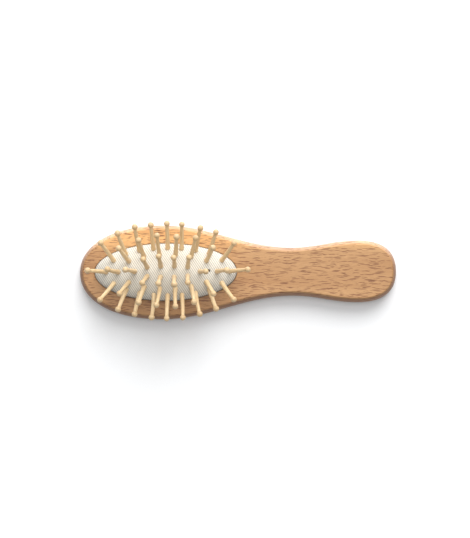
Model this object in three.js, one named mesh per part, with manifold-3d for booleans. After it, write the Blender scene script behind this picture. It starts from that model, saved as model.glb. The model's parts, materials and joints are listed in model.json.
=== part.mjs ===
// A small wooden hair brush with an air cushion and round-tipped wooden pins.
// Millimetres. The brush lies on its flat back: +X runs along the handle to its end, +Y across, +Z up.
// The origin is the middle of the underside. The pins point up.
import * as THREE from "three";
import { mergeVertices } from "three/addons/utils/BufferGeometryUtils.js";
import Module from "manifold-3d";

const wasm = await Module();
wasm.setup();

// Body: one piece of beech.
const LENGTH = 175;
const THICKNESS = 12;
const HEAD_X = -41.5; // where the head is widest
const HEAD_HALF = 26;
const WAIST_X = 29.7; // where the handle is narrowest
const WAIST_HALF = 13.3;
const GRIP_X = 66.5; // where the end of the handle is widest
const GRIP_HALF = 17.1;
const EDGE_BULGE = 2.3; // how far the rounded edge stands out past the flat faces
const EDGE_BAND = 0.6; // the upright strip at the middle of the edge
const EDGE_RINGS = 4; // facets from that strip to each face
const OUTLINE_STEPS = 8; // segments in each of the outline's curves

// How far the outline's curves run straight on from each place that they pass: across the brush at its two
// ends, and along it at the head, the waist and the grip, toward the head's end and toward the handle's.
const NOSE_PULL = 15.4;
const HEAD_PULL = [28, 25.5];
const WAIST_PULL = [26, 14.5];
const GRIP_PULL = [14.8, 12.6];
const TAIL_PULL = 12.2;

// Cushion: a textile-faced rubber dome in an oval pocket.
const CUSHION_X = -39.8;
const CUSHION_A = 39; // half length of the facing
const CUSHION_B = 15.7; // half width of the facing
const DOME_RISE = 9.3; // height of the facing's crown over the wood
const FACING = 0.4;
const GAP = 0.3; // clearance between neighbouring pieces
const RUBBER = 1.5;
const FLANGE_OUT = 2; // how far the rubber's flange stands out past its wall
const FLANGE_THICK = 1.4;
const LIP = 1.2; // thickness of wood over the undercut
const POCKET_DEPTH = 7.2;
const POCKET_ROOM = 0.5; // clearance round the flange
const OVAL_SIDES = 32;
const DOME_RINGS = 5;
const VENT_X = 22.7; // from the middle of the pin field
const VENT_Y = 0.5;
const VENT_R = 0.7;

// Pins: turned wood with a ball tip and a foot inside the cushion.
const PIN_FIELD_X = CUSHION_X + 1.3;
const PIN_REACH = 17; // from the facing to the middle of the ball
const BALL_R = 1.65;
const SHAFT_R = 1.25; // at its thick end, just clear of the cushion
const TIP_R = 0.95; // just under the ball
const NECK_R = 0.9; // the waist that the rubber grips
const NECK_TOP = 1.6; // from the middle of the rubber up to the top of the waist
const SHOULDER_TOP = 2.5;
const FOOT_R = 1.25;
const FOOT_THICK = 0.6;
const FOOT_DROP = 1.4; // from the middle of the rubber down to the top of the foot
const PIN_SIDES = 7;
const BALL_RINGS = 4;
const HOLE_SIDES = 6;
const THROAT_R = 1.2; // the hole in the rubber at its narrowest, smaller than the foot
const HOLE_FLARE = 0.22; // how fast the hole widens on both sides, so that the pin can rock
const HOLE_REACH = 4;

// Each ring of pins: half length and half width of its oval at the facing, the half width that sets which
// way its pins point, how far they lean out from upright at the ends of the oval and at its sides, and a
// number that fixes how its hand-set pins stray.
const RINGS = [
  {
    name: "outer_pin",
    count: 20,
    a: 33.6,
    b: 12.8,
    aim: 12.6,
    leanEnd: 35,
    leanSide: 48.5,
    salt: 2300,
  },
  {
    name: "middle_pin",
    count: 14,
    a: 27,
    b: 9.1,
    aim: 10.9,
    leanEnd: 18,
    leanSide: 35.3,
    salt: 2073,
  },
  {
    name: "inner_pin",
    count: 10,
    a: 17.8,
    b: 3,
    aim: 4.2,
    leanEnd: 13.5,
    leanSide: 15.8,
    salt: 1461,
  },
];
const STRAY = 0.05; // most that a pin strays from its line, as a slope
const STRAY_ACROSS = 7; // what is added to a ring's number for the pins' stray across the brush

const FACE = THICKNESS;
const RUBBER_A = CUSHION_A - FACING - GAP;
const RUBBER_B = CUSHION_B - FACING - GAP;
const RUBBER_RISE = DOME_RISE - FACING - GAP;
const FLANGE_TOP = FACE - LIP - GAP;
const FLANGE_BOTTOM = FLANGE_TOP - FLANGE_THICK;
const OVERCUT = 2; // how far a cutter runs past the face it cuts

const beech = new THREE.MeshStandardMaterial({ name: "beech", color: 0xcda078, roughness: 0.55 });
const rubber = new THREE.MeshStandardMaterial({ name: "rubber", color: 0xd8d2c4, roughness: 0.8 });
const textile = new THREE.MeshStandardMaterial({ name: "textile", color: 0xf2f0ea, roughness: 0.9 });
const pinWood = new THREE.MeshStandardMaterial({ name: "pin_wood", color: 0xf3dcae, roughness: 0.5 });

// A closed geometry as a solid that can be cut and joined.
function solid(geometry) {
  const bare = geometry.clone();
  bare.deleteAttribute("normal");
  bare.deleteAttribute("uv");
  const merged = mergeVertices(bare, 1e-3);
  const vertProperties = new Float32Array(merged.attributes.position.array);
  const triVerts = new Uint32Array(merged.index.array);
  return new wasm.Manifold(new wasm.Mesh({ numProp: 3, vertProperties, triVerts }));
}

// A solid as a named mesh.
function meshOf(made, name, material) {
  const { vertProperties, triVerts } = made.getMesh();
  const geometry = new THREE.BufferGeometry();
  geometry.setAttribute("position", new THREE.BufferAttribute(vertProperties, 3));
  geometry.setIndex(new THREE.BufferAttribute(triVerts, 1));
  geometry.computeVertexNormals();
  const mesh = new THREE.Mesh(geometry, material);
  mesh.name = name;
  return mesh;
}

// An upright oval block from one height to another, centred on the cushion.
function ovalBlock(a, b, low, high) {
  const oval = new THREE.EllipseCurve(0, 0, a, b, 0, 2 * Math.PI).getPoints(OVAL_SIDES);
  const shape = new THREE.Shape(oval.slice(1));
  const block = new THREE.ExtrudeGeometry(shape, { depth: high - low, bevelEnabled: false });
  return solid(block.translate(CUSHION_X, 0, low));
}

// The upper half of an egg-shaped dome, standing on the body's face, with a short plinth below it so that it
// joins what is under it.
function dome(a, b, rise, plinth) {
  const profile = [new THREE.Vector2(0, -plinth), new THREE.Vector2(b, -plinth)];
  for (let i = 0; i < DOME_RINGS; i += 1) {
    const turn = (i / DOME_RINGS) * (Math.PI / 2);
    profile.push(new THREE.Vector2(b * Math.cos(turn), rise * Math.sin(turn)));
  }
  profile.push(new THREE.Vector2(0, rise));
  const lathe = new THREE.LatheGeometry(profile, OVAL_SIDES);
  lathe.rotateX(Math.PI / 2).scale(a / b, 1, 1);
  return solid(lathe.translate(CUSHION_X, 0, FACE));
}

// The outline of the body seen from above, out to the middle of its rounded edge: four curves down each
// side, each with its ends along or across the handle.
function bodyOutline() {
  const end = LENGTH / 2;
  const side = [
    [-end, NOSE_PULL],
    [HEAD_X - HEAD_PULL[0], HEAD_HALF],
    [HEAD_X, HEAD_HALF],
    [HEAD_X + HEAD_PULL[1], HEAD_HALF],
    [WAIST_X - WAIST_PULL[0], WAIST_HALF],
    [WAIST_X, WAIST_HALF],
    [WAIST_X + WAIST_PULL[1], WAIST_HALF],
    [GRIP_X - GRIP_PULL[0], GRIP_HALF],
    [GRIP_X, GRIP_HALF],
    [GRIP_X + GRIP_PULL[1], GRIP_HALF],
    [end, TAIL_PULL],
  ];
  const there = side.map(([x, y]) => [x, -y]);
  const loop = [...there, [end, 0], ...side.reverse(), [-end, 0]];
  const shape = new THREE.Shape();
  shape.moveTo(-end, 0);
  for (let i = 0; i < loop.length; i += 3) shape.bezierCurveTo(...loop.slice(i, i + 3).flat());
  return shape;
}

// The body's blank. A bevelled extrusion gives rings of the outline, each set in a little further; moving
// each ring up or down puts them on an arc that meets the flat face at a crisp corner.
function bodyBlank() {
  const half = THICKNESS / 2;
  const band = EDGE_BAND / 2;
  const blank = new THREE.ExtrudeGeometry(bodyOutline(), {
    depth: EDGE_BAND,
    curveSegments: OUTLINE_STEPS,
    bevelThickness: half - band,
    bevelSize: EDGE_BULGE,
    bevelOffset: -EDGE_BULGE,
    bevelSegments: EDGE_RINGS,
  });
  blank.translate(0, 0, -band);
  const radius = (EDGE_BULGE ** 2 + (half - band) ** 2) / (2 * EDGE_BULGE);
  const position = blank.attributes.position;
  for (let i = 0; i < position.count; i += 1) {
    const z = position.getZ(i);
    const up = Math.min((Math.abs(z) - band) / (half - band), 1);
    const setIn = EDGE_BULGE * (1 - Math.sqrt(Math.max(1 - up ** 2, 0)));
    const rise = Math.sqrt(Math.max(radius ** 2 - (radius - setIn) ** 2, 0));
    if (up > 0) position.setZ(i, Math.sign(z) * (band + rise));
  }
  return solid(blank.translate(0, 0, half));
}

function bodyMesh() {
  const mouth = ovalBlock(CUSHION_A + GAP, CUSHION_B + GAP, FACE - LIP - OVERCUT, FACE + OVERCUT);
  const flangeA = RUBBER_A + FLANGE_OUT + POCKET_ROOM;
  const flangeB = RUBBER_B + FLANGE_OUT + POCKET_ROOM;
  const undercut = ovalBlock(flangeA, flangeB, FACE - POCKET_DEPTH, FACE - LIP);
  return meshOf(bodyBlank().subtract(mouth).subtract(undercut), "brush_body", beech);
}

// How far pin number i of a ring strays, from -1 to 1: always the same for the same numbers.
function stray(i, salt) {
  const wave = Math.sin(i * 12.9898 + salt * 78.233) * 43758.5453;
  return 2 * (wave - Math.floor(wave)) - 1;
}

// Where each pin of a ring goes through the facing, and which way it points.
function pinPlaces(ring) {
  const oval = new THREE.EllipseCurve(0, 0, ring.a, ring.b, 0, 2 * Math.PI);
  const spots = oval.getSpacedPoints(ring.count).slice(0, ring.count);
  return spots.map((spot, i) => {
    const x = PIN_FIELD_X + spot.x;
    const height = Math.sqrt(1 - ((x - CUSHION_X) / CUSHION_A) ** 2 - (spot.y / CUSHION_B) ** 2);
    const side = Math.abs(spot.y / ring.b);
    const lean = THREE.MathUtils.degToRad(ring.leanEnd + (ring.leanSide - ring.leanEnd) * side);
    const heading = Math.atan2(spot.y / ring.aim ** 2, spot.x / ring.a ** 2);
    const out = new THREE.Vector3(
      Math.cos(heading) * Math.sin(lean) + STRAY * stray(i, ring.salt),
      Math.sin(heading) * Math.sin(lean) + STRAY * stray(i, ring.salt + STRAY_ACROSS),
      Math.cos(lean),
    );
    return {
      name: `${ring.name}_${String(i + 1).padStart(2, "0")}`,
      base: new THREE.Vector3(x, spot.y, FACE + DOME_RISE * height),
      out: out.normalize(),
    };
  });
}

// The turn that stands a shape made along +Z on a pin's line, with its origin at the middle of the rubber,
// where the pin rocks.
function pinFrame(place) {
  const upright = new THREE.Vector3(0, 0, 1);
  const turn = new THREE.Quaternion().setFromUnitVectors(upright, place.out);
  const depth = FACING + GAP + RUBBER / 2;
  const pivot = place.base.clone().addScaledVector(place.out, -depth);
  return new THREE.Matrix4().compose(pivot, turn, new THREE.Vector3(1, 1, 1));
}

// A pin in profile, from the middle of its foot up to the top of its ball.
function pinGeometry() {
  const ballAt = FACING + GAP + RUBBER / 2 + PIN_REACH;
  const neck = Math.asin(TIP_R / BALL_R);
  const profile = [
    new THREE.Vector2(0, -FOOT_DROP - FOOT_THICK),
    new THREE.Vector2(FOOT_R, -FOOT_DROP - FOOT_THICK),
    new THREE.Vector2(FOOT_R, -FOOT_DROP),
    new THREE.Vector2(NECK_R, -FOOT_DROP),
    new THREE.Vector2(NECK_R, NECK_TOP),
    new THREE.Vector2(SHAFT_R, SHOULDER_TOP),
  ];
  for (let i = 0; i <= BALL_RINGS; i += 1) {
    const turn = (Math.PI - neck) * (1 - i / BALL_RINGS);
    const r = i === BALL_RINGS ? 0 : BALL_R * Math.sin(turn);
    profile.push(new THREE.Vector2(r, ballAt + BALL_R * Math.cos(turn)));
  }
  return new THREE.LatheGeometry(profile, PIN_SIDES).rotateX(Math.PI / 2);
}

// The cutter for a pin's hole: two cones, narrow end to narrow end where the pin rocks.
function holeCutter(place) {
  const mouth = THROAT_R + HOLE_FLARE * HOLE_REACH;
  const profile = [
    new THREE.Vector2(0, -HOLE_REACH),
    new THREE.Vector2(mouth, -HOLE_REACH),
    new THREE.Vector2(THROAT_R, 0),
    new THREE.Vector2(mouth, HOLE_REACH),
    new THREE.Vector2(0, HOLE_REACH),
  ];
  const cutter = new THREE.LatheGeometry(profile, HOLE_SIDES).rotateX(Math.PI / 2);
  return solid(cutter.applyMatrix4(pinFrame(place)));
}

function ventCutter() {
  const tall = 2 * DOME_RISE;
  const cutter = new THREE.CylinderGeometry(VENT_R, VENT_R, tall, HOLE_SIDES).rotateX(Math.PI / 2);
  return solid(cutter.translate(PIN_FIELD_X + VENT_X, VENT_Y, FACE + tall / 2));
}

// The textile facing: a thin dome over the rubber, tucked into the mouth of the pocket.
function facingSolid() {
  const skirt = LIP;
  const outer = dome(CUSHION_A, CUSHION_B, DOME_RISE, skirt);
  const inner = dome(CUSHION_A - FACING, CUSHION_B - FACING, DOME_RISE - FACING, skirt + OVERCUT);
  return outer.subtract(inner);
}

// The rubber: a hollow dome with a flange round its foot, under the lip of the pocket.
function rubberSolid() {
  const outer = dome(RUBBER_A, RUBBER_B, RUBBER_RISE, FACE - FLANGE_BOTTOM);
  const flange = ovalBlock(RUBBER_A + FLANGE_OUT, RUBBER_B + FLANGE_OUT, FLANGE_BOTTOM, FLANGE_TOP);
  const deep = FACE - FLANGE_BOTTOM + OVERCUT;
  const inner = dome(RUBBER_A - RUBBER, RUBBER_B - RUBBER, RUBBER_RISE - RUBBER, deep);
  return outer.add(flange).subtract(inner);
}

// A shell with every pin's hole and the vent cut through it.
function pierced(shell, places) {
  const cut = places.reduce((left, place) => left.subtract(holeCutter(place)), shell);
  return cut.subtract(ventCutter());
}

function pinMesh(place) {
  const mesh = new THREE.Mesh(pinGeometry(), pinWood.clone());
  mesh.name = place.name;
  mesh.applyMatrix4(pinFrame(place));
  return mesh;
}

const places = RINGS.flatMap(pinPlaces);

const cushion = new THREE.Group();
cushion.name = "cushion";
cushion.add(meshOf(pierced(rubberSolid(), places), "air_cushion", rubber));
cushion.add(meshOf(pierced(facingSolid(), places), "cushion_facing", textile));
for (const place of places) cushion.add(pinMesh(place));

const group = new THREE.Group();
group.name = "hair_brush";
group.add(bodyMesh());
group.add(cushion);

export default group;
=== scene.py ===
# %% [markdown]
# # A small wooden hair brush
# The brush is one piece of beech with an oval air cushion let into its face, and wooden pins with ball
# tips standing in the cushion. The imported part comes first, because every piece here takes its place
# and its size from it.

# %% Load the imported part
import json
import math
import random

import bmesh
import bpy
from mathutils import Matrix, Vector, noise


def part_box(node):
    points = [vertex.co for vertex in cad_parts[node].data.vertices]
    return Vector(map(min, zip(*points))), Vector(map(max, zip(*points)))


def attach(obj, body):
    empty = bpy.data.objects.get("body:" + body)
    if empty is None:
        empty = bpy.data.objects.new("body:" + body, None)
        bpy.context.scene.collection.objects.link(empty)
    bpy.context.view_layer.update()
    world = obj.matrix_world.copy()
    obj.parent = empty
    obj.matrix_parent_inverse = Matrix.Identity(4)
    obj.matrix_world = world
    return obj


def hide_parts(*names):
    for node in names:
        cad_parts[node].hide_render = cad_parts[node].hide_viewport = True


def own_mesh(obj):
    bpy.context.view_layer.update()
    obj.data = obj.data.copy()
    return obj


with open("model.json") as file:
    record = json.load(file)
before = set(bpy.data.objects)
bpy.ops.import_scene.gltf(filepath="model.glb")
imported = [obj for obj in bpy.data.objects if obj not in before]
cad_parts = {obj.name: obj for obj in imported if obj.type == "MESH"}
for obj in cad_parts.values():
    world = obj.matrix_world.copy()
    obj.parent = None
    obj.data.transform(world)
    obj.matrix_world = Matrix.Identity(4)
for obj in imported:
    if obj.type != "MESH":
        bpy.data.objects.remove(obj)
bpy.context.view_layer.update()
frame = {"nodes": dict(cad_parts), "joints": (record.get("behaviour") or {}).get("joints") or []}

MM = 0.001

# %% [markdown]
# Each piece is shaped in a bmesh and then kept as an object at the origin, with its place in its
# mesh. Doubles are merged first, so that the faces can be turned outwards as one skin. Broad flat
# faces stay flat shaded and the rest is smooth, which keeps a flat face even right up to a rounding.

# %% A helper that turns a bmesh into a finished piece
FLAT = 0.9999  # how upright a normal is on a flat face
SAME_PLACE = 0.001 * MM


def finished(name, bm, flats=False):
    bmesh.ops.remove_doubles(bm, verts=bm.verts, dist=SAME_PLACE)
    bmesh.ops.recalc_face_normals(bm, faces=bm.faces)
    for face in bm.faces:
        face.smooth = not (flats and abs(face.normal.z) > FLAT)
    open_edges = sum(1 for edge in bm.edges if not edge.is_manifold)
    mesh = bpy.data.meshes.new(name)
    bm.to_mesh(mesh)
    bm.free()
    piece = bpy.data.objects.new(name, mesh)
    bpy.context.scene.collection.objects.link(piece)
    print(name, len(mesh.polygons), "faces,", open_edges, "open edges")
    return piece


# %% [markdown]
# ## The beech body
# The real body is sawn from a board, its edge is rounded with a cutter and both faces are sanded
# flat. Its outline is a smooth closed curve through eight places, the same curve as the packed
# part's. A Bezier curve with its handles laid along or across the brush draws it best, and converting
# the curve to a mesh gives the outline as a ring of vertices.

# %% Draw the outline of the body
body_low, body_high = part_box("brush_body")
HALF_LENGTH = (body_high.x - body_low.x) / 2
HEAD_HALF = (body_high.y - body_low.y) / 2
FACE_LEVEL = body_high.z
HEAD_X = -41.5 * MM  # where the head is widest
WAIST_X = 29.7 * MM  # where the handle is narrowest
WAIST_HALF = 13.3 * MM
GRIP_X = 66.5 * MM  # where the end of the handle is widest
GRIP_HALF = 17.1 * MM
NOSE_PULL = 15.4 * MM  # the reach of the handles, at the nose, head, waist, grip and tail
HEAD_PULL = (28 * MM, 25.5 * MM)
WAIST_PULL = (26 * MM, 14.5 * MM)
GRIP_PULL = (14.8 * MM, 12.6 * MM)
TAIL_PULL = 12.2 * MM
CURVE_STEPS = 28


def outline_stations():
    """Place, direction of travel, and reach of the handle before and after it, all the way round."""
    side = [
        (HEAD_X, HEAD_HALF, HEAD_PULL),
        (WAIST_X, WAIST_HALF, WAIST_PULL),
        (GRIP_X, GRIP_HALF, GRIP_PULL),
    ]
    there = [((x, -half), (1, 0), pull) for x, half, pull in side]
    back = [((x, half), (-1, 0), pull[::-1]) for x, half, pull in reversed(side)]
    nose = ((-HALF_LENGTH, 0), (0, -1), (NOSE_PULL, NOSE_PULL))
    tail = ((HALF_LENGTH, 0), (0, 1), (TAIL_PULL, TAIL_PULL))
    return [nose, *there, tail, *back]


def outline_mesh():
    curve = bpy.data.curves.new("outline", "CURVE")
    curve.dimensions = "2D"
    curve.resolution_u = CURVE_STEPS
    spline = curve.splines.new("BEZIER")
    stations = outline_stations()
    spline.bezier_points.add(len(stations) - 1)
    for point, (place, travel, (before, after)) in zip(spline.bezier_points, stations):
        place, travel = Vector((*place, 0)), Vector((*travel, 0))
        point.co = place
        point.handle_left = place - travel * before
        point.handle_right = place + travel * after
    spline.use_cyclic_u = True
    drawn = bpy.data.objects.new("outline", curve)
    mesh = bpy.data.meshes.new_from_object(drawn)
    bpy.data.objects.remove(drawn)
    return mesh


outline = outline_mesh()
print("outline:", len(outline.vertices), "places round the body")

# %% [markdown]
# The outline becomes a face. Extruding it makes the narrow upright strip at the middle of the edge,
# and repeated insets that also lift the face make the rounding above it and, the other way up, below
# it. The rings lie on an arc that meets the flat face at an angle, so a crease is left there, which
# a small bevel softens as fine sanding does.

# %% Round the edge of the body
EDGE_BAND = 0.6 * MM
EDGE_BULGE = 2.3 * MM
EDGE_RINGS = 10
CREASE = 0.22 * MM


def widest_face(bm, upwards):
    flat_faces = [face for face in bm.faces if face.normal.z * upwards > FLAT]
    return max(flat_faces, key=lambda face: face.calc_area())


def round_over(bm, face):
    rise = (FACE_LEVEL - EDGE_BAND) / 2
    radius = (EDGE_BULGE**2 + rise**2) / (2 * EDGE_BULGE)
    lifted = set_in = 0.0
    for ring in range(1, EDGE_RINGS + 1):
        height = rise * ring / EDGE_RINGS
        bulge = radius - math.sqrt(radius**2 - height**2)
        bmesh.ops.inset_region(
            bm, faces=[face], thickness=bulge - set_in, depth=height - lifted, use_even_offset=True
        )
        lifted, set_in = height, bulge


def body_blank():
    bm = bmesh.new()
    bm.from_mesh(outline)
    bmesh.ops.remove_doubles(bm, verts=bm.verts, dist=SAME_PLACE)
    bmesh.ops.contextual_create(bm, geom=bm.edges[:])
    strip = bmesh.ops.extrude_face_region(bm, geom=bm.faces[:], use_keep_orig=True)
    lifted = [part for part in strip["geom"] if isinstance(part, bmesh.types.BMVert)]
    bmesh.ops.translate(bm, verts=lifted, vec=(0, 0, EDGE_BAND))
    bmesh.ops.recalc_face_normals(bm, faces=bm.faces)
    for upwards in (1, -1):
        round_over(bm, widest_face(bm, upwards))
    bmesh.ops.translate(bm, verts=bm.verts, vec=(0, 0, (FACE_LEVEL - EDGE_BAND) / 2))
    creases = [edge for upwards in (1, -1) for edge in widest_face(bm, upwards).edges]
    bmesh.ops.bevel(
        bm, geom=creases, offset=CREASE, affect="EDGES", segments=3, profile=0.5, material=-1
    )
    return bm


blank = body_blank()
heights = [vert.co.z / MM for vert in blank.verts]
print("blank from", round(min(heights), 2), "to", round(max(heights), 2), "mm")

# %% [markdown]
# The pocket is an oval hole with a lip at its top and an undercut below, where the flange of the
# rubber sits. The upper face is taken off and filled again between the outline and an oval ring, and
# the ring is then extruded down step by step: over a small rounding, down the lip, out under it and
# down to the floor.

# %% Cut the pocket for the cushion
facing_low, facing_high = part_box("cushion_facing")
CUSHION_X = (facing_low.x + facing_high.x) / 2
CUSHION_A = (facing_high.x - facing_low.x) / 2
CUSHION_B = (facing_high.y - facing_low.y) / 2
CROWN_LEVEL = facing_high.z
GAP = 0.3 * MM
LIP = 1.2 * MM
POCKET_DEPTH = 7.2 * MM
UNDERCUT = 1.8 * MM
MOUTH_ROUND = 0.25 * MM
MOUTH_STEPS = 3
OVAL_STEPS = 128


def oval_ring(bm, out):
    ring = bmesh.ops.create_circle(bm, segments=OVAL_STEPS, radius=1)["verts"]
    bmesh.ops.scale(bm, verts=ring, vec=(CUSHION_A + out, CUSHION_B + out, 1))
    bmesh.ops.translate(bm, verts=ring, vec=(CUSHION_X, 0, FACE_LEVEL))
    return list({edge for vert in ring for edge in vert.link_edges})


def step_on(bm, edges, out, new_out, down):
    """Extrudes an oval ring, and moves the new ring down and from one clearance to another."""
    made = bmesh.ops.extrude_edge_only(bm, edges=edges)["geom"]
    verts = [part for part in made if isinstance(part, bmesh.types.BMVert)]
    grow = ((CUSHION_A + new_out) / (CUSHION_A + out), (CUSHION_B + new_out) / (CUSHION_B + out), 1)
    centred = Matrix.Translation((-CUSHION_X, 0, 0))
    bmesh.ops.scale(bm, verts=verts, vec=grow, space=centred)
    bmesh.ops.translate(bm, verts=verts, vec=(0, 0, -down))
    return [part for part in made if isinstance(part, bmesh.types.BMEdge)]


def cut_pocket(bm):
    top = widest_face(bm, 1)
    rim = top.edges[:]
    bmesh.ops.delete(bm, geom=[top], context="FACES_ONLY")
    out = GAP + MOUTH_ROUND
    ring = oval_ring(bm, out)
    bmesh.ops.triangle_fill(bm, use_beauty=True, edges=rim + ring, normal=(0, 0, 1))
    for step in range(MOUTH_STEPS):
        before, after = (math.radians(90) * turn / MOUTH_STEPS for turn in (step, step + 1))
        new_out = GAP + MOUTH_ROUND * (1 - math.sin(after))
        down = MOUTH_ROUND * (math.cos(before) - math.cos(after))
        ring = step_on(bm, ring, out, new_out, down)
        out = new_out
    ring = step_on(bm, ring, out, out, LIP - MOUTH_ROUND)
    ring = step_on(bm, ring, out, UNDERCUT, 0)
    ring = step_on(bm, ring, UNDERCUT, UNDERCUT, POCKET_DEPTH - LIP)
    bmesh.ops.edgeloop_fill(bm, edges=ring)


cut_pocket(blank)
body = finished("beech_body", blank, flats=True)
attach(body, "handle")
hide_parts("brush_body")

# %% [markdown]
# ## Where the pins stand
# The real pins are pushed through the rubber in three ovals and splay like the ribs of a fan. The
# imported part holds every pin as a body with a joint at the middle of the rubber, so the joint gives
# one end of a pin's line, and the point of the pin furthest from it gives the other.

# %% Read each pin's line from its joint
PIVOT_DEPTH = 1.45 * MM  # from the facing down to the middle of the rubber


def pin_lines():
    lines = {}
    for joint in frame["joints"]:
        if joint["type"] != "hinge":
            continue
        pivot = Vector(joint["pos_m"])
        corners = [vert.co for vert in frame["nodes"][joint["child"]].data.vertices]
        tip = max(corners, key=lambda corner: (corner - pivot).length)
        lines[joint["child"]] = (pivot, (tip - pivot).normalized())
    return lines


PINS = pin_lines()
pin_feet = [pivot + along * PIVOT_DEPTH for pivot, along in PINS.values()]
lean = PINS["outer_pin_01"][1].angle((0, 0, 1))
print(len(PINS), "pins; the first leans", round(math.degrees(lean)), "degrees")

# %% [markdown]
# ## The cushion
# The real cushion is moulded rubber faced with white ribbed cloth. It is tight with air, so it is an
# egg-shaped dome, but each pin draws it down a little where it goes through, and it is never quite
# even in between. The upper half of a sphere, cut off with a plane and scaled, gives the dome with a
# closed crown. Small moves of its vertices then press in the dimples.

# %% Shape a dome with dimples
CROWN_RISE = CROWN_LEVEL - FACE_LEVEL
DIMPLE_DEPTH = 0.26 * MM
DIMPLE_REACH = 2.9 * MM
SLOPE_SHARE = 0.25  # of the dome's rise, over which the dimples fade towards the rim
UNEVEN = 0.06 * MM
UNEVEN_SCALE = 130  # waves to the metre
DOME_RINGS = 56
DOME_STEPS = 360
ON_THE_CUT = 1e-6  # how near to the plane a vertex counts as lying on it


def half_dome(bm, inset, rings=DOME_RINGS, steps=DOME_STEPS):
    """An open dome lying inside the facing's outer skin by inset, and the edges of its rim."""
    made = bmesh.ops.create_uvsphere(bm, u_segments=steps, v_segments=2 * rings, radius=1)["verts"]
    faces = list({face for vert in made for face in vert.link_faces})
    edges = list({edge for vert in made for edge in vert.link_edges})
    whole = made + edges + faces
    bmesh.ops.bisect_plane(
        bm, geom=whole, plane_no=(0, 0, 1), clear_inner=True, dist=ON_THE_CUT
    )
    dome = [vert for vert in made if vert.is_valid]
    size = (CUSHION_A - inset, CUSHION_B - inset, CROWN_RISE - inset)
    bmesh.ops.scale(bm, verts=dome, vec=size)
    bmesh.ops.translate(bm, verts=dome, vec=(CUSHION_X, 0, FACE_LEVEL))
    rim = [edge for vert in dome for edge in vert.link_edges if edge.is_boundary]
    return dome, list(set(rim))


def sunk(place):
    """How far the cushion is drawn in at a place: dimples at the pins and a gentle unevenness."""
    depth = 0.0
    for foot in pin_feet:
        away = (place - foot).length / DIMPLE_REACH
        if away < 1:
            depth = max(depth, DIMPLE_DEPTH * (1 - away**2) ** 2)
    return depth + UNEVEN * noise.noise(place * UNEVEN_SCALE)


def draw_in(verts):
    for vert in verts:
        above = min((vert.co.z - FACE_LEVEL) / (CROWN_RISE * SLOPE_SHARE), 1)
        if above > 0:
            vert.co -= vert.normal * sunk(vert.co) * above


# %% [markdown]
# A vent lets the cushion breathe. It is a small slanting slot, cut by hand, near the handle's end of
# the cushion. The faces inside it are deleted and the ring of vertices left round it is drawn onto a
# clean oval, which costs far less than a boolean and leaves a good edge. Two skins opened in the same
# place can then be joined from rim to rim.

# %% Open the vent
VENT_PLACE = Vector((-15.8 * MM, 0.5 * MM, 0))
VENT_LONG = 0.95 * MM
VENT_SHORT = 0.55 * MM
VENT_TURN = math.radians(-55)
INSIDE = 0.95  # both as shares of the way from the middle of the vent to its edge
NEAR_EDGE = 1.1


def vent_share(place):
    """The place seen from the middle of the vent, with the vent's edge at a length of 1."""
    away = Vector((place.x - VENT_PLACE.x, place.y - VENT_PLACE.y))
    away.rotate(Matrix.Rotation(-VENT_TURN, 2))
    return Vector((away.x / VENT_LONG, away.y / VENT_SHORT))


def open_vent(bm):
    inside = [
        face
        for face in bm.faces
        if face.normal.z > 0 and vent_share(face.calc_center_median()).length < INSIDE
    ]
    hole = {vert for face in inside for vert in face.verts}
    bmesh.ops.delete(bm, geom=inside, context="FACES")
    for vert in hole:
        if vert.is_valid:
            share = vent_share(vert.co).normalized()
            edge = Vector((share.x * VENT_LONG, share.y * VENT_SHORT))
            edge.rotate(Matrix.Rotation(VENT_TURN, 2))
            vert.co.x, vert.co.y = VENT_PLACE.x + edge.x, VENT_PLACE.y + edge.y
    return len(inside)


def vent_rims(bm):
    rims = [edge for edge in bm.edges if edge.is_boundary]
    return [edge for edge in rims if vent_share(edge.verts[0].co).length < NEAR_EDGE]


# %% [markdown]
# The facing is the cloth: a thin skin that turns down into the gap round the pocket, where its cut
# edge is hidden. The open dome gets a skirt and is then given its thickness inwards.

# %% Make the facing
FACING_THICK = 0.4 * MM


def facing_shell():
    bm = bmesh.new()
    dome, rim = half_dome(bm, 0)
    bm.normal_update()
    draw_in(dome)
    print("vent:", open_vent(bm), "faces opened")
    skirt = bmesh.ops.extrude_edge_only(bm, edges=rim)["geom"]
    lowered = [part for part in skirt if isinstance(part, bmesh.types.BMVert)]
    bmesh.ops.translate(bm, verts=lowered, vec=(0, 0, -LIP))
    bmesh.ops.recalc_face_normals(bm, faces=bm.faces)
    bmesh.ops.solidify(bm, geom=bm.faces[:], thickness=FACING_THICK)
    return bm


facing = finished("cushion_facing_cloth", facing_shell())
reach = [max(abs(corner[axis]) for corner in facing.bound_box) for axis in range(3)]
print("facing reaches", [round(side / MM, 2) for side in reach], "mm")

# %% [markdown]
# The rubber under the cloth is a thicker dome. Its foot turns out into a flange, which sits under the
# lip of the pocket and holds the whole cushion in the wood. Outer skin and inner skin are two domes,
# joined at the vent, and the rings of the flange are extruded from the first and bridged to the second.

# %% Make the rubber
RUBBER_INSET = FACING_THICK + GAP
RUBBER_THICK = 1.5 * MM
FLANGE_OUT = 2 * MM
FLANGE_THICK = 1.4 * MM
RUBBER_RINGS = 36
RUBBER_STEPS = 256


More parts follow.
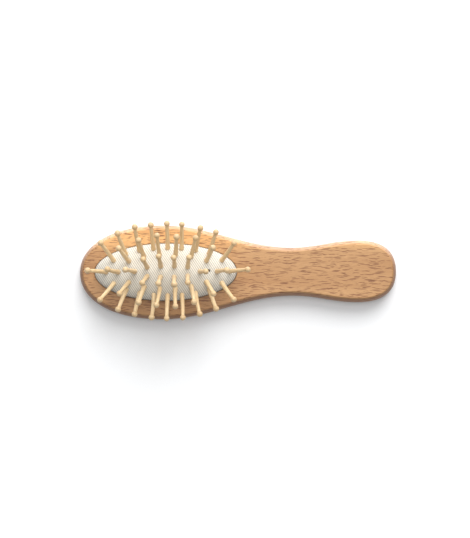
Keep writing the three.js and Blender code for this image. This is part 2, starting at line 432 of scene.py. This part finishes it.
def rubber_moulding():
    bm = bmesh.new()
    outer, foot = half_dome(bm, RUBBER_INSET, RUBBER_RINGS, RUBBER_STEPS)
    inner, inner_foot = half_dome(bm, RUBBER_INSET + RUBBER_THICK, RUBBER_RINGS, RUBBER_STEPS)
    bm.normal_update()
    draw_in(outer + inner)
    open_vent(bm)
    bmesh.ops.bridge_loops(bm, edges=vent_rims(bm))
    wall = -RUBBER_INSET
    foot = step_on(bm, foot, wall, wall, LIP + GAP)
    foot = step_on(bm, foot, wall, wall + FLANGE_OUT, 0)
    foot = step_on(bm, foot, wall + FLANGE_OUT, wall + FLANGE_OUT, FLANGE_THICK)
    foot = step_on(bm, foot, wall + FLANGE_OUT, wall - RUBBER_THICK, 0)
    bmesh.ops.bridge_loops(bm, edges=foot + inner_foot)
    return bm


rubber = finished("rubber_cushion", rubber_moulding())

# %% [markdown]
# Pressing the brush pushes the crown in while the foot of the cushion stays in the wood. The body
# called cushion slides down as a whole. Both skins are attached to it, so they ride down with it
# unchanged.

# %% Let the cushion ride on its sliding body
press = next(joint for joint in frame["joints"] if joint["type"] != "hinge")
for piece, packed_node, slot_name in (
    (facing, "cushion_facing", "textile"),
    (rubber, "air_cushion", "rubber"),
):
    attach(piece, press["child"])
    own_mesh(piece)
    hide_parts(packed_node)

# %% [markdown]
# ## The pins
# Real pins of this kind are turned on small automatic lathes: a foot inside the cushion, a thin neck
# where the rubber grips, a shoulder that sits on the cloth, a tapering shaft and a ball. One profile
# spun about its axis gives all of it. No two are quite alike, so each gets its own small differences
# in size, a trace of bend and its own turn of the grain, always the same ones because the random
# numbers are seeded.

# %% Draw the profile of a pin
FOOT = [(0, -2.0), (0.95, -2.0), (1.2, -1.85), (1.25, -1.65), (1.15, -1.45), (0.92, -1.35)]
NECK = [(0.9, -1.2), (0.9, 0.9), (0.98, 1.18)]
SHOULDER = [(1.2, 1.36), (1.33, 1.6), (1.36, 1.95), (1.31, 2.5), (1.24, 3.6)]
SHAFT = [(1.2, 5.5), (1.15, 8.0), (1.09, 11.0), (1.02, 14.0), (0.96, 16.0), (0.95, 16.6)]
BALL_MIDDLE = 18.45
BALL_R = 1.65
BALL_RINGS = 11
BALL_START = math.radians(34)  # how far round from its lowest point the ball leaves the shaft
PIN_STEPS = 24


def pin_profile(thick, ball, long):
    """Radius and height in mm, foot first, of a pin with its own shaft, ball and length of ball."""
    shaft = [(r * thick, z) for r, z in [*SHOULDER, *SHAFT]]
    tip = []
    for ring in range(BALL_RINGS + 1):
        turn = BALL_START + (math.pi - BALL_START) * ring / BALL_RINGS
        height = BALL_MIDDLE - BALL_R * ball * long * math.cos(turn)
        tip.append((BALL_R * ball * math.sin(turn), height))
    tip[-1] = (0, tip[-1][1])
    return [*FOOT, *NECK, *shaft, *tip]


print("profile of", len(pin_profile(1, 1, 1)), "places")

# %% [markdown]
# Each pin keeps its own lengthwise coordinates in its mesh, as an attribute, so that the grain of its
# wood can run along it however it leans. A second attribute marks the ball, where the wood is cut
# across its grain. The profile is spun once round, and a slow noise keeps it from being too perfect.

# %% Spin and set the pins
SHAFT_SPREAD = (0.95, 1.06)  # least and most, next to the profile's own size
BALL_SPREAD = (0.95, 1.05)
BALL_LENGTH_SPREAD = (0.93, 1.04)
BEND = 0.22  # in mm, at the middle of the shaft
WOBBLE = 0.02  # in mm
WOBBLE_SCALE = 0.45  # waves to the mm
WOOD_BLOCK = 50  # in mm, the size of the block of grain that the pins are cut from
SEED = 7


def spun_pin(pivot, along, dice):
    """A pin made upright in millimetres, and then scaled and set on its line."""
    spreads = (SHAFT_SPREAD, BALL_SPREAD, BALL_LENGTH_SPREAD)
    thick, ball, long = (dice.uniform(*spread) for spread in spreads)
    bm = bmesh.new()
    verts = [bm.verts.new((r, 0, z)) for r, z in pin_profile(thick, ball, long)]
    edges = [bm.edges.new(pair) for pair in zip(verts, verts[1:])]
    full_turn = {"axis": (0, 0, 1), "angle": 2 * math.pi, "steps": PIN_STEPS}
    bmesh.ops.spin(bm, geom=verts + edges, use_merge=True, **full_turn)
    bmesh.ops.remove_doubles(bm, verts=bm.verts, dist=SAME_PLACE / MM)
    grain = bm.verts.layers.float_vector.new("grain_place")
    end_grain = bm.verts.layers.float.new("end_grain")
    start = Vector([dice.uniform(0, WOOD_BLOCK) for axis in range(3)])
    sway = Vector((dice.uniform(-BEND, BEND), dice.uniform(-BEND, BEND), 0))
    for vert in bm.verts:
        vert[grain] = vert.co + start
        vert[end_grain] = min(max(vert.co.z - BALL_MIDDLE + BALL_R, 0), 1)
        up = max(vert.co.z, 0) / BALL_MIDDLE
        bow = 4 * up * (1 - up)  # 1 at the middle of the shaft and 0 at its ends
        wobble = noise.noise_vector(vert.co * WOBBLE_SCALE + start) * WOBBLE
        vert.co += sway * bow + wobble
    turn = Vector((0, 0, 1)).rotation_difference(along).to_matrix().to_4x4()
    own_turn = Matrix.Rotation(dice.uniform(0, 2 * math.pi), 4, "Z")
    bm.transform(Matrix.Translation(pivot) @ turn @ Matrix.Scale(MM, 4) @ own_turn)
    return bm


pins = []
dice = random.Random(SEED)
for name, (pivot, along) in PINS.items():
    pin = finished("wooden_" + name, spun_pin(pivot, along, dice))
    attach(pin, name)
    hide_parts(name)
    pins.append(pin)

# %% [markdown]
# ## Finishes
# Each finish is a tree of nodes on a Principled shader, and every real surface varies, so most of the
# work is laying one pattern over another. A few short helpers keep the trees readable. The first ones
# make a finish and a node, and join an output to an input whenever one is given in place of a value.

# %% Helpers that add nodes
def new_finish(name, **sockets):
    """A material and its tree and shader, with the shader's even values set on its own sockets."""
    finish = bpy.data.materials.new(name)
    finish.use_nodes = True
    shader = finish.node_tree.nodes["Principled BSDF"]
    for socket, value in sockets.items():
        shader.inputs[socket.replace("_", " ")].default_value = value
    return finish, finish.node_tree, shader


def node(tree, kind, inputs=(), **settings):
    made = tree.nodes.new("ShaderNode" + kind)
    for key, value in settings.items():
        setattr(made, key, value)
    for socket, value in dict(inputs).items():
        if isinstance(value, bpy.types.NodeSocket):
            tree.links.new(value, made.inputs[socket])
        else:
            made.inputs[socket].default_value = value
    return made


# %% [markdown]
# The rest are the moves that the finishes share: a texture stretched along the grain, a place pushed
# about by noise, a value moved to another range or turned into a colour, two colours mixed, and a
# height raised as bump. A scale is given as waves or cells to the metre along X, Y and Z.

# %% Helpers that shape a pattern
WHITE = (1, 1, 1, 1)
BLACK = (0, 0, 0, 1)


def stretched(tree, place, scale, kind="TexNoise", **inputs):
    mapping = node(tree, "Mapping", {"Vector": place, "Scale": scale})
    return node(tree, kind, {"Vector": mapping.outputs["Vector"], "Scale": 1, **inputs})


def swayed(tree, place, reach, scale, **inputs):
    """A place pushed about by noise, by up to a reach in metres along each axis."""
    push = stretched(tree, place, scale, **inputs).outputs["Color"]
    moved = node(tree, "VectorMath", {0: push, 1: reach, 2: place}, operation="MULTIPLY_ADD")
    return moved.outputs["Vector"]


def ranged(tree, value, **ends):
    """A value moved from one range to another, each of them 0 to 1 unless an end is given."""
    sockets = {socket.replace("_", " "): end for socket, end in ends.items()}
    return node(tree, "MapRange", {"Value": value, **sockets}).outputs["Result"]


def ramp(tree, value, low, high, dark=BLACK, light=WHITE):
    """Colours from dark to light as a value goes from low to high."""
    made = node(tree, "ValToRGB", {"Fac": value})
    first, last = made.color_ramp.elements
    first.position, first.color = low, dark
    last.position, last.color = high, light
    return made.outputs["Color"]


def mixed(tree, share, first, second, blend="MIX"):
    inputs = {0: share, 6: first, 7: second}  # the numbers of the Mix node's colour sockets
    return node(tree, "Mix", inputs, data_type="RGBA", blend_type=blend).outputs[2]


def raised(tree, shader, height, depth):
    """Bump of a given depth in metres from a height between 0 and 1."""
    bump = node(tree, "Bump", {"Height": height, "Distance": depth, "Strength": 1.0})
    tree.links.new(bump.outputs["Normal"], shader.inputs["Normal"])


# %% [markdown]
# Beech is a pinkish tan wood. Broad soft bands and fine pores run along it, and the board's
# coordinates are made a little wavy first, so that nothing lies quite straight.

# %% Beech: its bands and pores
BEECH_DARK = (0.395, 0.192, 0.068, 1)
BEECH_LIGHT = (0.505, 0.275, 0.112, 1)
PORE_SHADE = (0.7, 0.62, 0.55, 1)
PORE_SHARE = 0.5
GRAIN_REACH = (0, 3 * MM, 3 * MM)
GRAIN_SCALE = (80, 140, 140)
BAND_SCALE = (9, 120, 60)
PORE_SCALE = (260, 3200, 3200)


def wavy_grain(tree, place):
    return swayed(tree, place, GRAIN_REACH, GRAIN_SCALE, Detail=3, Roughness=0.5)


def fine_pores(tree, grain):
    return stretched(tree, grain, PORE_SCALE, Detail=2, Roughness=0.6).outputs["Fac"]


def banded_beech(tree, grain, pores):
    bands = stretched(tree, grain, BAND_SCALE, Detail=3, Roughness=0.55).outputs["Fac"]
    colour = ramp(tree, bands, 0.3, 0.7, BEECH_DARK, BEECH_LIGHT)
    return mixed(tree, PORE_SHARE, colour, ramp(tree, pores, 0.34, 0.6, PORE_SHADE), "MULTIPLY")


# %% [markdown]
# A paler band is painted along the +Y side of the board. It is painted light, standing in for light
# bounced onto the wood from the cushion. The rounded edge has painted shade on its -Y side and a creamy
# painted highlight on its +Y side, where the key light falls. The painted band is a share that grows
# across the board. The painted light and shade on the edge are laid on by height, from the middle of
# the thickness up to the flat faces.

# %% Beech: painted light along its side and on its edges
# painted light: a paler band across the +Y side of the board, standing in for light bounced onto the
# wood from the cushion
BOUNCE_PAINT_FROM = 12.5 * MM
BOUNCE_PAINT_TO = 19 * MM
PAINTED_BOUNCE_LIGHT = (1.6, 1.7, 1.7, 1)
EDGE_STARTS = 5.9 * MM  # above or below the middle of the thickness
EDGE_FULL = 4.8 * MM
# painted shade on the -Y side of the rounded edge, and a painted highlight on its +Y side
PAINTED_EDGE_SHADE = (0.56, 0.46, 0.37, 1)
PAINTED_EDGE_HIGHLIGHT = (1.06, 1.21, 1.9, 1)
EDGE_LIGHT_SPAN = 12 * MM


def edge_share(tree, place):
    """1 on the rounded edge and 0 on both flat faces."""
    level = node(tree, "SeparateXYZ", {"Vector": place}).outputs["Z"]
    off = node(tree, "Math", {0: level, 1: FACE_LEVEL / 2}, operation="SUBTRACT").outputs["Value"]
    off = node(tree, "Math", {0: off}, operation="ABSOLUTE").outputs["Value"]
    return ranged(tree, off, From_Min=EDGE_FULL, From_Max=EDGE_STARTS, To_Min=1, To_Max=0)


def with_painted_light(tree, place, grain, colour):
    across = node(tree, "SeparateXYZ", {"Vector": grain}).outputs["Y"]
    # the share of the painted band of bounced light, growing across the +Y side
    painted_bounce = ranged(tree, across, From_Min=BOUNCE_PAINT_FROM, From_Max=BOUNCE_PAINT_TO)
    colour = mixed(tree, painted_bounce, colour, PAINTED_BOUNCE_LIGHT, "MULTIPLY")
    # paints shade on the -Y side of the edge and a highlight on its +Y side
    edge_light = ramp(tree, across, 0, EDGE_LIGHT_SPAN, PAINTED_EDGE_SHADE, PAINTED_EDGE_HIGHLIGHT)
    return mixed(tree, edge_share(tree, place), colour, edge_light, "MULTIPLY")


# %% [markdown]
# The mark of beech is the ray fleck: short brown dashes, a few millimetres long and half a
# millimetre wide, all along the grain. Points scattered in cells that are stretched along the board
# give just that. Two sizes are laid over each other, and the short ones come and go in patches.

# %% Beech: its flecks
FLECK_BROWN = (0.165, 0.052, 0.013, 1)
SHORT_FLECKS = (95, 1600, 1600)
LONG_FLECKS = (72, 1250, 1250)
PATCHES = (60, 160, 160)
THIN_PATCH = (0.6, 0.6, 0.6, 1)


def cells(tree, grain, scale):
    return stretched(tree, grain, scale, "TexVoronoi", Randomness=1).outputs["Distance"]


def flecked(tree, place, grain, short, colour):
    dashes = ramp(tree, short, 0.24, 0.36, WHITE, BLACK)
    patch = stretched(tree, place, PATCHES, Detail=1).outputs["Fac"]
    dashes = mixed(tree, 1.0, dashes, ramp(tree, patch, 0.3, 0.6, THIN_PATCH), "MULTIPLY")
    long_dashes = ramp(tree, cells(tree, grain, LONG_FLECKS), 0.17, 0.30, WHITE, BLACK)
    return mixed(tree, mixed(tree, 1.0, dashes, long_dashes, "LIGHTEN"), colour, FLECK_BROWN)


# %% [markdown]
# The finished wood is oiled, with a faint sheen. Its pores vary how rough it is, and pores and flecks
# together are just deep enough to feel.

# %% Oiled beech
BEECH_RELIEF = 0.04 * MM


def beech_finish():
    finish, tree, shader = new_finish(
        "oiled_beech", Specular_IOR_Level=0.4, Coat_Weight=0.22, Coat_Roughness=0.34
    )
    place = node(tree, "TexCoord").outputs["Object"]
    grain = wavy_grain(tree, place)
    pores = fine_pores(tree, grain)
    short = cells(tree, grain, SHORT_FLECKS)
    # this colour carries the painted bounce light on the +Y side, and the painted shade and highlight
    # on the edge
    colour = with_painted_light(tree, place, grain, banded_beech(tree, grain, pores))
    tree.links.new(flecked(tree, place, grain, short, colour), shader.inputs["Base Color"])
    tree.links.new(ranged(tree, pores, To_Min=0.42, To_Max=0.58), shader.inputs["Roughness"])
    raised(tree, shader, mixed(tree, 0.5, ramp(tree, short, 0.15, 0.4), pores), BEECH_RELIEF)
    return finish


body.data.materials.append(beech_finish())
print("beech on", body.name)

# %% [markdown]
# The facing is a white ribbed cloth. Its ribs run slantwise over the whole cushion about a millimetre
# apart, with thin shaded lines between them and small stitches across. The ribs are a sine of the
# distance across them, which takes one dot product.

# %% Ribbed cloth
RIB_PITCH = 1.04 * MM
RIB_HEADING = math.radians(-57)  # the way the ribs run, from the +X axis
STITCH_PITCH = 0.62 * MM
CLOTH_WHITE = (0.76, 0.72, 0.64, 1)
RIB_SHADE = (0.45, 0.42, 0.355, 1)
FUZZ_SHADE = (0.8, 0.79, 0.77, 1)
CLOTH_REACH = (0.6 * MM, 0.6 * MM, 0)
CLOTH_SCALE = (90, 90, 90)
FUZZ_SCALE = (2600, 2600, 2600)
CLOTH_RELIEF = 0.12 * MM


def waves(tree, place, heading, pitch):
    """From 0 to 1 and back in waves across a heading, one to each pitch."""
    turns = 2 * math.pi / pitch
    across = (-math.sin(heading) * turns, math.cos(heading) * turns, 0)
    dot = node(tree, "VectorMath", {0: place, 1: across}, operation="DOT_PRODUCT")
    wave = node(tree, "Math", {0: dot.outputs["Value"]}, operation="SINE").outputs["Value"]
    return ranged(tree, wave, From_Min=-1)


def cloth_finish():
    finish, tree, shader = new_finish(
        "white_rib_knit", Roughness=0.85, Sheen_Weight=0.15, Specular_IOR_Level=0.2
    )
    place = node(tree, "TexCoord").outputs["Object"]
    weave = swayed(tree, place, CLOTH_REACH, CLOTH_SCALE, Detail=2)
    rib = waves(tree, weave, RIB_HEADING, RIB_PITCH)
    stitch = waves(tree, weave, RIB_HEADING + math.pi / 2, STITCH_PITCH)
    fuzz = stretched(tree, place, FUZZ_SCALE, Detail=2).outputs["Fac"]
    colour = ramp(tree, rib, 0.06, 0.5, RIB_SHADE, CLOTH_WHITE)
    colour = mixed(tree, 0.25, colour, ramp(tree, fuzz, 0.3, 0.7, FUZZ_SHADE), "MULTIPLY")
    tree.links.new(colour, shader.inputs["Base Color"])
    relief = mixed(tree, 0.25, rib, stitch)
    raised(tree, shader, mixed(tree, 0.2, relief, fuzz), CLOTH_RELIEF)
    return finish


facing.data.materials.append(cloth_finish())
print("ribs", round(RIB_PITCH / MM, 2), "mm apart on", facing.name)

# %% [markdown]
# The rubber is natural latex, cream coloured, matt and slightly grained from its mould. It shows only
# at the vent and in the gap round the pocket.

# %% Natural rubber
LATEX_DARK = (0.52, 0.45, 0.34, 1)
LATEX_LIGHT = (0.66, 0.60, 0.48, 1)
CLOUD_SCALE = (110, 110, 110)
MOULD_SCALE = (1800, 1800, 1800)
MOULD_RELIEF = 0.05 * MM


def rubber_finish():
    finish, tree, shader = new_finish("natural_rubber", Specular_IOR_Level=0.3)
    place = node(tree, "TexCoord").outputs["Object"]
    cloudy = stretched(tree, place, CLOUD_SCALE, Detail=3).outputs["Fac"]
    mould = stretched(tree, place, MOULD_SCALE, Detail=2).outputs["Fac"]
    colour = ramp(tree, cloudy, 0.3, 0.7, LATEX_DARK, LATEX_LIGHT)
    tree.links.new(colour, shader.inputs["Base Color"])
    tree.links.new(ranged(tree, mould, To_Min=0.6, To_Max=0.85), shader.inputs["Roughness"])
    raised(tree, shader, mould, MOULD_RELIEF)
    return finish


rubber.data.materials.append(rubber_finish())
print("latex on", rubber.name)

# %% [markdown]
# The pins are a paler wood with a fine straight grain and a light polish from the drum they are
# tumbled in. The pattern reads each pin's own coordinates, in millimetres, so the streaks run along
# the shaft and end as rings on the ball, where the cut ends of the grain are also darker.

# %% Pale turned wood
PALE_DARK = (0.70, 0.50, 0.27, 1)
PALE_LIGHT = (0.82, 0.68, 0.455, 1)
TONE_SHADE = (0.90, 0.84, 0.74, 1)
PIN_PORE_SHADE = (0.7, 0.6, 0.5, 1)
END_SHADE = (0.84, 0.79, 0.74, 1)
STREAK_SCALE = (2.2, 2.2, 0.13)  # to the millimetre here, as is the rest
TONE_SCALE = (0.05, 0.05, 0.03)
PIN_PORE_SCALE = (7, 7, 0.5)
PIN_RELIEF = 0.04 * MM


def pin_colour(tree, place, streaks):
    tone = stretched(tree, place, TONE_SCALE, Detail=1).outputs["Fac"]
    pores = stretched(tree, place, PIN_PORE_SCALE, Detail=1).outputs["Fac"]
    colour = ramp(tree, streaks, 0.28, 0.72, PALE_DARK, PALE_LIGHT)
    colour = mixed(tree, 0.7, colour, ramp(tree, tone, 0.3, 0.7, TONE_SHADE), "MULTIPLY")
    colour = mixed(tree, 0.4, colour, ramp(tree, pores, 0.3, 0.5, PIN_PORE_SHADE), "MULTIPLY")
    ends = node(tree, "Attribute", attribute_name="end_grain").outputs["Fac"]
    return mixed(tree, ends, colour, END_SHADE, "MULTIPLY")


def pin_finish():
    finish, tree, shader = new_finish("tumbled_pale_wood", Specular_IOR_Level=0.4)
    place = node(tree, "Attribute", attribute_name="grain_place").outputs["Vector"]
    streaks = stretched(tree, place, STREAK_SCALE, Detail=3, Roughness=0.6).outputs["Fac"]
    tree.links.new(pin_colour(tree, place, streaks), shader.inputs["Base Color"])
    tree.links.new(ranged(tree, streaks, To_Min=0.35, To_Max=0.55), shader.inputs["Roughness"])
    raised(tree, shader, streaks, PIN_RELIEF)
    return finish


pale_wood = pin_finish()
for pin in pins:
    pin.data.materials.append(pale_wood)
print("pale wood on", len(pins), "pins")

# %% [markdown]
# ## Floor, light and camera
# The brush lies on a plain white floor with a trace of tooth, like card.

# %% Lay the floor
FLOOR_HALF = 1.5
CARD_DARK = (0.88, 0.88, 0.885, 1)
CARD_LIGHT = (0.90, 0.90, 0.905, 1)
TOOTH_SCALE = (900, 900, 900)


def white_floor():
    bm = bmesh.new()
    bmesh.ops.create_grid(bm, x_segments=1, y_segments=1, size=FLOOR_HALF)
    floor = finished("floor", bm)
    finish, tree, shader = new_finish("white_paper", Roughness=0.9, Specular_IOR_Level=0.1)
    place = node(tree, "TexCoord").outputs["Object"]
    tooth = stretched(tree, place, TOOTH_SCALE, Detail=2).outputs["Fac"]
    colour = ramp(tree, tooth, 0.2, 0.8, CARD_DARK, CARD_LIGHT)
    tree.links.new(colour, shader.inputs["Base Color"])
    floor.data.materials.append(finish)


white_floor()

# %% [markdown]
# One large soft light stands beyond the brush and shines back over it at thirty-five degrees, so that
# shadows fall softly towards the viewer. A weaker one hangs overhead, and a faint cool sky fills what
# is left.

# %% Set up the light
KEY_AZIMUTH = math.radians(80)  # from the +X axis
KEY_ELEVATION = math.radians(35)
KEY_DISTANCE = 1.2
KEY_SIZE = 1.4
KEY_POWER = 25.0
OVERHEAD = math.radians(90)
FILL_HEIGHT = 1.7
FILL_SIZE = 1.4
FILL_POWER = 12.0
SKY_COLOUR = (0.92, 0.97, 1, 1)
SKY_STRENGTH = 0.29


def soft_light(name, azimuth, elevation, distance, size, power):
    light = bpy.data.lights.new(name, "AREA")
    light.shape, light.size, light.energy = "DISK", size, power
    lamp = bpy.data.objects.new(name, light)
    flat = Vector((math.cos(azimuth), math.sin(azimuth), 0)) * math.cos(elevation)
    lamp.location = (flat + Vector((0, 0, math.sin(elevation)))) * distance
    lamp.rotation_euler = lamp.location.to_track_quat("Z", "Y").to_euler()
    lamp.visible_camera = False
    bpy.context.scene.collection.objects.link(lamp)


def pale_sky():
    sky = bpy.data.worlds.new("white_sky")
    sky.use_nodes = True
    background = sky.node_tree.nodes["Background"]
    background.inputs["Color"].default_value = SKY_COLOUR
    background.inputs["Strength"].default_value = SKY_STRENGTH
    bpy.context.scene.world = sky


soft_light("key", KEY_AZIMUTH, KEY_ELEVATION, KEY_DISTANCE, KEY_SIZE, KEY_POWER)
soft_light("fill", 0, OVERHEAD, FILL_HEIGHT, FILL_SIZE, FILL_POWER)
pale_sky()
bpy.context.scene.view_settings.view_transform = "Standard"
print("key light", KEY_POWER, "W, sky", SKY_STRENGTH)

# %% [markdown]
# The camera looks almost straight down from a metre away, with a long lens, leaning back by two
# degrees and turned by a fraction of a degree.

# %% Place the camera
LOOK_AT = Vector((-1.65, 1.49, 12.0)) * MM
LOOK_FROM = 1.0
LEAN = math.radians(2)
ROLL = math.radians(-0.3)
SENSOR = 36
FIELD = 0.2963  # the height of what it sees, at the brush

camera = bpy.data.objects.new("camera", bpy.data.cameras.new("camera"))
camera.data.sensor_fit = "VERTICAL"
camera.data.sensor_width = camera.data.sensor_height = SENSOR
camera.data.lens = SENSOR * LOOK_FROM / FIELD
aim = Matrix.Rotation(LEAN, 4, "X") @ Matrix.Rotation(ROLL, 4, "Z")
camera.matrix_world = Matrix.Translation(LOOK_AT) @ aim @ Matrix.Translation((0, 0, LOOK_FROM))
bpy.context.scene.collection.objects.link(camera)
bpy.context.scene.camera = camera
print("lens", round(camera.data.lens, 1), "mm")
